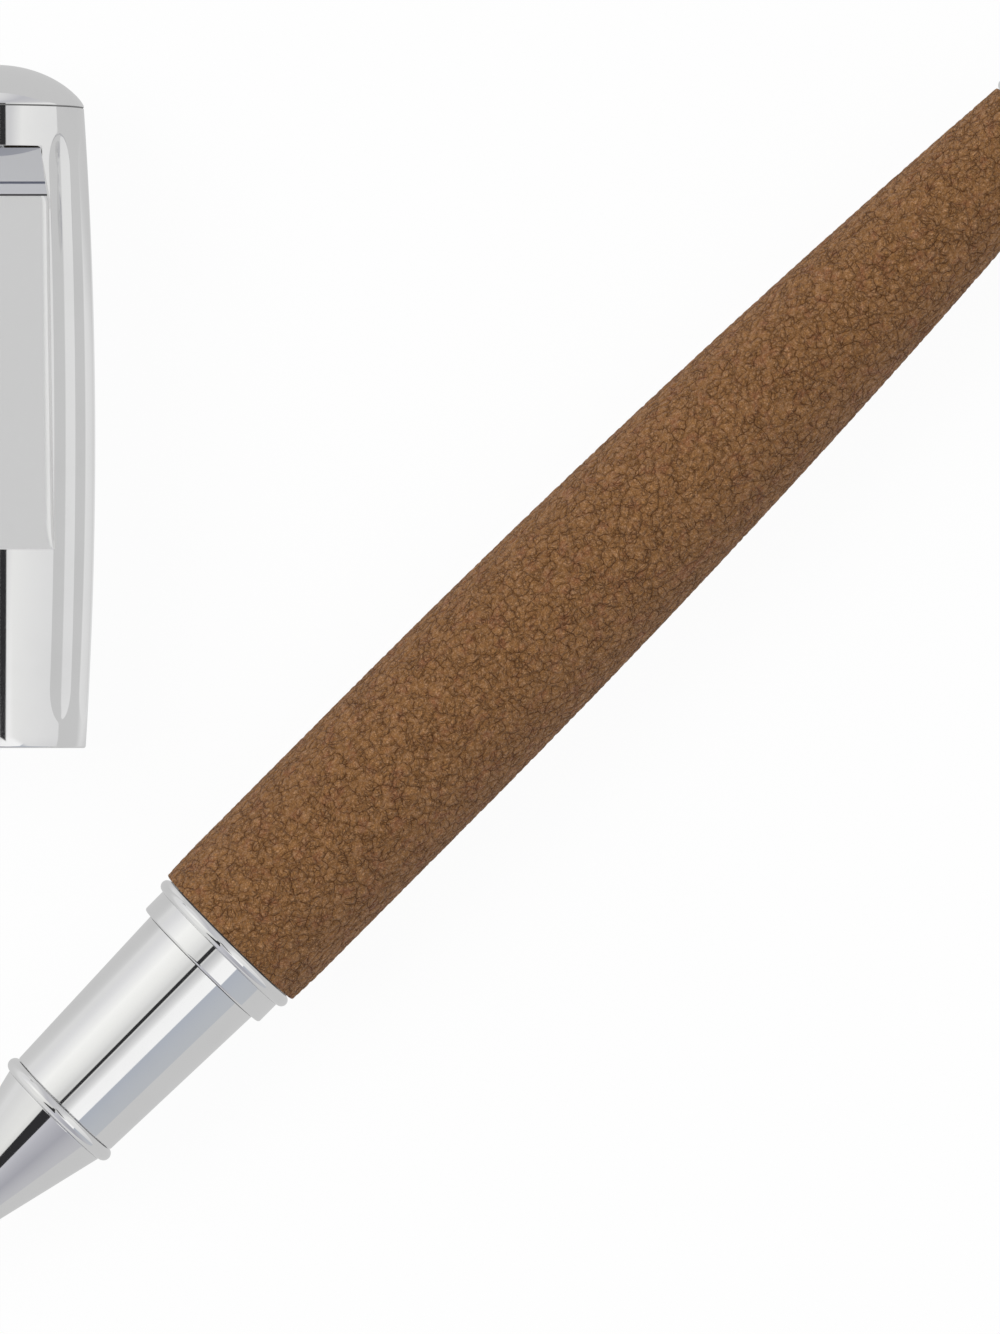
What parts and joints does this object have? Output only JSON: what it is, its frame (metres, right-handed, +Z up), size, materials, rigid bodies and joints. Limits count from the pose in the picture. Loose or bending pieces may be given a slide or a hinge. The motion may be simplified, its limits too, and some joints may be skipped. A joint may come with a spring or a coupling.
{
  "type": "rollerball pen",
  "caption": "Rollerball pen with a pebbled leather barrel, chrome front section and a chrome clip cap, shown with the cap off and laid beside it.",
  "frame": {"origin": "on the pen's axis, in the middle of the collar band that the cap seats on", "axes": "+X along the pen towards its tail, tip towards -X; +Z up from the surface that the pen lies on; the cap lies on the +Y side"},
  "size_m": [0.1277, 0.067, 0.0168],
  "materials": {
    "leather": "brown, pebbled grain, satin",
    "chrome": "polished",
    "clip_chrome": "polished",
    "brass": "turned",
    "spring_steel": "drawn wire",
    "refill_metal": "brushed",
    "refill_plastic": "moulded",
    "tip_steel": "turned",
    "ball_carbide": "ground",
    "ink_fibre": "ink-soaked fibre",
    "liner_plastic": "moulded",
    "seal_rubber": "moulded"
  },
  "bodies": {
    "barrel": {"leather_sleeve": "leather", "barrel_tube": "brass", "barrel_collar": "chrome", "thread_bush": "brass", "tail_plug": "brass", "tail_ring": "chrome", "tail_finial": "chrome", "refill_spring": "spring_steel"},
    "refill": {"refill_tube": "refill_metal", "refill_holder": "refill_plastic", "refill_tip": "tip_steel", "ink_feed": "ink_fibre", "ink_reservoir": "ink_fibre", "refill_plug": "refill_plastic"},
    "ball": {"writing_ball": "ball_carbide"},
    "section": {"grip_section": "chrome", "section_sleeve": "brass", "section_ring": "chrome", "nose_cone": "chrome"},
    "cap": {"cap_shell": "chrome", "cap_crown": "chrome", "crown_stud": "spring_steel", "cap_liner": "liner_plastic", "tip_seal": "seal_rubber", "clip_block": "brass", "clip_pin": "spring_steel", "clip_spring": "spring_steel"},
    "clip": {"clip": "clip_chrome"}
  },
  "joints": [
    {"name": "cap_pull", "type": "slide", "parent": "barrel", "child": "cap", "axis": [0.7093, 0.7049, 0], "range_m": [0, 0.035]},
    {"name": "clip_lift", "type": "hinge", "parent": "cap", "child": "clip", "pos_m": [0.02984, 0.05207, 0.00473], "axis": [-0.7049, 0.7093, 0], "range_deg": [0, 6], "stiffness_Nm_per_rad": 0.15, "springref_deg": -5.73, "deforming": ["clip_spring"]},
    {"name": "refill_slide", "type": "slide", "parent": "barrel", "child": "refill", "axis": [-1, 0, 0], "range_m": [0, 0.003], "deforming": ["refill_spring"]},
    {"name": "section_unscrew", "type": "hinge", "parent": "refill", "child": "section", "pos_m": [-0.01, 0, 0], "axis": [-1, 0, 0], "range_deg": [0, 1440]},
    {"name": "ball_roll", "type": "hinge", "parent": "refill", "child": "ball", "pos_m": [-0.03355, 0, 0], "axis": [0, 1, 0], "continuous": true}
  ],
  "couplings": [
    {"joint": "refill_slide", "follows": "section_unscrew", "m_per_rad": 0.00011937}
  ]
}
